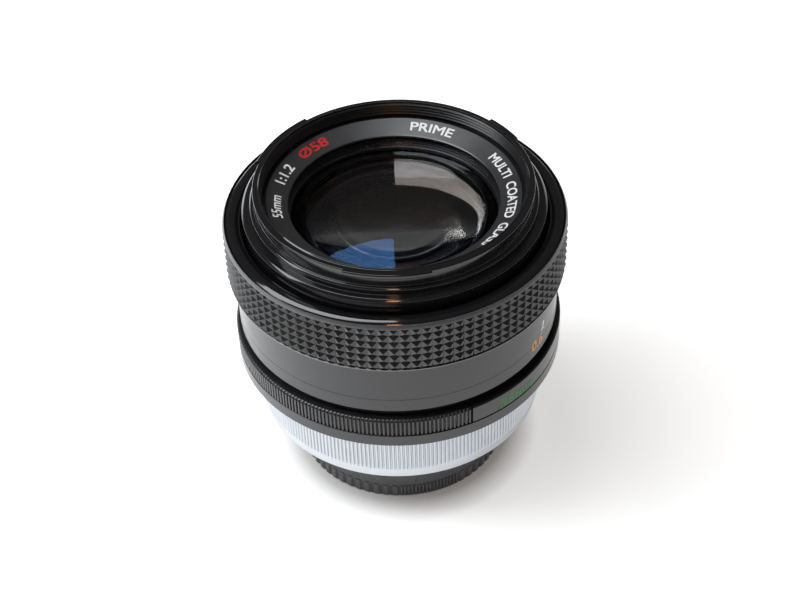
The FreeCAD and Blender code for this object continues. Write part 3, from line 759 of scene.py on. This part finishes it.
def cap(material):
    """Rear cap with ribs round its foot, finer over a short stretch in front."""
    wall = CAP_R - 0.15
    core = 0.4
    depth = 0.35
    rib_top = 3.3
    rows = [
        (core, 0.0, 0.0), (wall - 0.7, 0.0, 0.0), (CAP_R - 0.25, 0.15, 0.15), (CAP_R, 0.45, depth),
        (CAP_R, rib_top, depth), (CAP_R - 0.1, rib_top + 0.25, depth - 0.15),
        (wall - 0.1, rib_top + 0.4, 0.0), (wall, rib_top + 0.55, 0.0),
        (wall, CAP_TOP - 0.25, 0.0), (wall - 0.1, CAP_TOP - 0.07, 0.0), (wall - 0.25, CAP_TOP, 0.0),
        (CAP_BORE, CAP_TOP, 0.0), (CAP_BORE, CAP_FLOOR, 0.0), (core, CAP_FLOOR, 0.0),
    ]
    fine_start, fine_sweep = -3.0, 34.0
    marks = rib_marks(FINE_CAP_RIBS, CAP_RIB_SHAPE, fine_start, fine_sweep)
    marks += rib_marks(CAP_RIBS, CAP_RIB_SHAPE, fine_start + fine_sweep, 360.0 - fine_sweep)
    shell = ribbed_lathe("rear_cap_shell", rows, marks)
    return finish_piece(shell, material, "rear_cap", ["rear_cap"])


# --- lettering --------------------------------------------------------------------------

def letter_mesh(body, size, weight):
    """Flat filled characters as (vertices, faces) in millimetres, centred on the origin.

    Bold strokes are four copies, each shifted by a share of the size and set a hair higher.
    """
    curve = bpy.data.curves.new("lettering", "FONT")
    curve.body = body
    curve.size = size
    curve.align_x = "CENTER"
    curve.align_y = "CENTER"
    curve.extrude = 0.02
    curve.resolution_u = 6
    holder = bpy.data.objects.new("lettering", curve)
    bpy.context.scene.collection.objects.link(holder)
    bpy.context.view_layer.update()
    mesh = bpy.data.meshes.new_from_object(holder.evaluated_get(bpy.context.evaluated_depsgraph_get()))
    vertices = []
    faces = []
    for copy, (across, up) in enumerate(((-1, -1), (1, -1), (1, 1), (-1, 1))):
        first = len(vertices)
        shift = Vector((across * weight * size, up * weight * size, copy * 0.002))
        vertices += [tuple(v.co + shift) for v in mesh.vertices]
        faces += [tuple(first + index for index in p.vertices) for p in mesh.polygons]
    bpy.data.objects.remove(holder)
    bpy.data.curves.remove(curve)
    bpy.data.meshes.remove(mesh)
    return vertices, faces


def text_on_wall(name, body, size, radius, azimuth, height, stretch=1.0):
    """Characters wrapped round an upright wall, read from outside."""
    vertices, faces = letter_mesh(body, size, 0.02)
    placed = []
    for x, y, z in vertices:
        placed.append(polar(radius + z, azimuth + math.degrees(x * stretch / radius), height + y))
    return new_object(name, placed, faces)


def text_on_cone(name, body, size, radius, azimuth, stretch):
    """Characters on the sloping name ring, read clockwise from the front with tops outwards."""
    low_r, low_z = NAME_SLOPE_LOW
    high_r, high_z = NAME_SLOPE_HIGH
    slope = math.atan2(high_z - low_z, high_r - low_r)
    vertices, faces = letter_mesh(body, size, 0.018)
    placed = []
    for x, y, z in vertices:
        r = radius + y * math.cos(slope) - z * math.sin(slope)
        h = low_z + (radius - low_r) * math.tan(slope) + y * math.sin(slope) + z * math.cos(slope)
        placed.append(polar(r, azimuth - math.degrees(x * stretch / radius), h))
    return new_object(name, placed, faces)


def bar_on_wall(name, radius, azimuth, bottom, top, width):
    """A filled upright line on a wall."""
    half = math.degrees(width / 2 / radius)
    outer = radius + 0.02
    low = [polar(outer, azimuth - half, bottom), polar(outer, azimuth + half, bottom)]
    high = [polar(outer, azimuth + half, top), polar(outer, azimuth - half, top)]
    return new_object(name, low + high, [(0, 1, 2, 3)])


def name_lettering(white, red):
    """Plain words and numbers on the name ring, each with its size, azimuth and stretch."""
    middle = 25.6
    marks = (
        ("maker_words", "PRIME", 3.3, 159.0, 1.2, white),
        ("glass_words", "MULTI  COATED  GLASS", 3.1, 83.5, 1.0, white),
        ("filter_words", "\u00d858", 3.3, -135.7, 1.4, red),
        ("speed_words", "1:1.2", 3.3, -110.0, 1.15, white),
        ("focal_words", "55mm", 3.2, -85.0, 1.0, white),
    )
    for name, body, size, azimuth, stretch, material in marks:
        letters = text_on_cone(name, body, size, middle, azimuth, stretch)
        finish_piece(letters, material, "front_barrel")


def scale_lettering(white, green, orange):
    """Focal length, depth-of-field, distance and aperture scales, and the two index marks."""
    focal = text_on_wall("focal_mark", "55mm", 3.9, RING_R, 43.3, 35.7, 1.08)
    finish_piece(focal, green, "fixed_barrel")
    depth_scale(white)
    distance_scale(white, orange)
    aperture_scale(white, green)
    hood = bar_on_wall("hood_index", FRONT_R, INDEX_AZIMUTH, 66.5, 68.5, 0.6)
    finish_piece(hood, white, "front_barrel")


def depth_scale(white):
    """Index line of the fixed scale, with a pair of lines and numbers for each small stop."""
    parts = [bar_on_wall("index", RING_R, INDEX_AZIMUTH, 34.2, 38.6, 0.5)]
    for stop, spread in ((4, 6.0), (8, 12.0), (11, 17.0), (16, 24.0)):
        for azimuth in (INDEX_AZIMUTH - spread, INDEX_AZIMUTH + spread):
            parts.append(bar_on_wall("stop_line", RING_R, azimuth, 37.0, 38.6, 0.25))
            parts.append(text_on_wall("stop_number", str(stop), 2.0, RING_R, azimuth, 35.6))
    finish_piece(joined("depth_of_field_marks", parts), white, "fixed_barrel")


def distance_azimuth(metres):
    """Where a distance stands on the sleeve, from the share of the travel that the lens needs for it."""
    nearest = 600.0
    share = (nearest - 2 * FOCAL_LENGTH) / (1000.0 * metres - 2 * FOCAL_LENGTH)
    return INFINITY_AZIMUTH - FOCUS_SWEEP * share


def distance_scale(white, orange):
    """Metres on the lower row and feet on the upper one, with the infinity mark between them."""
    metres = []
    for distance in (0.6, 0.7, 0.8, 1, 1.2, 1.5, 2, 3, 5, 10):
        size = 3.9 if distance == 0.6 else 3.0
        azimuth = distance_azimuth(distance) - 0.4
        metres.append(text_on_wall("metres", str(distance), size, SKIRT_R, azimuth, 44.0))
    finish_piece(joined("metre_scale", metres), orange, "focus_ring")
    feet = [text_on_wall("infinity", "\u221e", 4.2, SKIRT_R, INFINITY_AZIMUTH, 45.8)]
    for distance in (2, 2.5, 3, 4, 5, 7, 10, 15, 30):
        azimuth = distance_azimuth(METRES_PER_FOOT * distance)
        feet.append(text_on_wall("feet", str(distance), 3.4, SKIRT_R, azimuth, 47.2))
    finish_piece(joined("foot_scale", feet), white, "focus_ring")


def aperture_scale(white, green):
    """Stops on the aperture ring, evenly spaced over its turn, with the widest one in green."""
    stops = ("1.4", "2", "2.8", "4", "5.6", "8", "11", "16")
    spacing = APERTURE_SWEEP / len(stops)
    height = (RING_BOTTOM + RING_STRIP_TOP) / 2
    parts = []
    for number, stop in enumerate(stops, 1):
        parts.append(text_on_wall("stop", stop, 2.3, RING_R, INDEX_AZIMUTH + number * spacing, height))
    finish_piece(joined("aperture_numbers", parts), white, "aperture_ring")
    widest = text_on_wall("widest_stop", "1.2", 2.3, RING_R, INDEX_AZIMUTH, height)
    finish_piece(widest, green, "aperture_ring")


# --- assembly ---------------------------------------------------------------------------

def inner_finishes():
    """Better materials for the CAD nodes that keep their own shape."""
    black = anodised("inner_black", (0.004, 0.004, 0.004), 0.6, 0.8, 0.4, 0.02, 0.2)
    sleeve = anodised("sleeve_black", (0.004, 0.004, 0.004), 0.4, 0.55, 0.3, 0.02, 0.25)
    steel = machined("turned_steel", (0.55, 0.55, 0.57), 0.25)
    brass = machined("helicoid_brass", (0.62, 0.44, 0.2), 0.3)
    tube = machined("barrel_aluminium", (0.5, 0.5, 0.52), 0.35)
    blades = machined("blade_steel_dark", (0.06, 0.06, 0.065), 0.35)
    groups = (
        (sleeve, ["main_barrel"]),
        (black, ["rear_lever_guard", "front_cell", "front_spacer", "iris_housing", "stop_retaining_ring",
                 "rear_cell", "rear_spacer", "rear_retaining_ring"]),
        (steel, ["mount_plate", "mount_screws", "grip_ring_screws", "detent_ball", "detent_leaf_spring",
                 "aperture_signal_lever", "stop_down_lever"]),
        (brass, ["outer_helicoid", "focus_helicoid", "helicoid_guide_keys", "iris_drive_ring"]),
        (tube, ["inner_barrel"]),
        (blades, ["iris_blade_%d" % number for number in range(1, 9)]),
    )
    for material, nodes in groups:
        for node in nodes:
            repaint(node, material)


def repaint(node, material):
    """Give a CAD node that stays visible a new material."""
    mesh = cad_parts[node].data
    mesh.materials.clear()
    mesh.materials.append(material)


def lens_stack():
    """Coatings of the inner elements, each with its own reflection colour."""
    coatings = {
        "second_element": (82.0, 19.3), "third_element": (104.0, 15.6), "fourth_element": (118.0, 14.6),
        "fifth_element": (86.0, 17.7), "sixth_element": (122.0, 18.1), "seventh_element": (90.0, 18.1),
    }
    for node, (film, clear) in coatings.items():
        repaint(node, coated_glass(node + "_coated", film, clear))


def build():
    """Make every piece with its finish, then the lettering and the finishes of the inner nodes."""
    satin = anodised("satin_black", (0.012, 0.012, 0.014), 0.2, 0.28, grain=0.1)
    ring = anodised("ring_black", (0.012, 0.012, 0.014), 0.2, 0.28, grain=0.1, specks=0.2)
    front = anodised("front_black", (0.006, 0.006, 0.007), 0.07, 0.12, grain=0.04, specks=0.25)
    # edge colour of the knurl: part wear, part painted edge highlight
    edge_wear_and_highlight = (0.24, 0.24, 0.25)
    knurl = anodised("knurl_black", (0.010, 0.010, 0.011), 0.2, 0.3, grain=0.12, specks=0.3, edge_wear_and_highlight=edge_wear_and_highlight)
    gloss = anodised("gloss_black", (0.005, 0.005, 0.006), 0.06, 0.11, grain=0.03, specks=0.3)
    plate = anodised("name_ring_black", (0.014, 0.014, 0.016), 0.32, 0.38, 0.12, specks=0.1, level=0.9)
    inner = anodised("glass_ring_black", (0.008, 0.008, 0.009), 0.22, 0.34, 0.2, specks=0.1)
    white = paint("white_enamel", (0.95, 0.96, 0.97))
    red = paint("red_enamel", (0.72, 0.02, 0.02))
    green = paint("green_enamel", (0.01, 0.2, 0.035))
    orange = paint("orange_enamel", (0.85, 0.33, 0.03))
    thread = anodised("thread_black", (0.006, 0.006, 0.007), 0.3, 0.36, 0.1, specks=0.1, level=0.4)
    filter_ring(front, thread)
    name_ring(plate)
    retaining_ring(inner)
    blue = coated_glass("front_glass_blue", 127.0, 22.8, (0.80, 0.82, 0.86))
    grey = coated_glass("front_glass_grey", 98.0, 19.8, (0.97, 0.97, 0.97), 1.42)
    front_glass(blue, grey)
    knurled_grip(knurl)
    trim_ring(gloss)
    skirt(satin)
    scale_segment(satin)
    aperture_ring(ring)
    breech_ring(chrome())
    cap(cap_plastic())
    name_lettering(white, red)
    scale_lettering(white, green, orange)
    repaint("breech_index_bead", red)
    inner_finishes()
    lens_stack()


camera()
studio()
floor()
build()
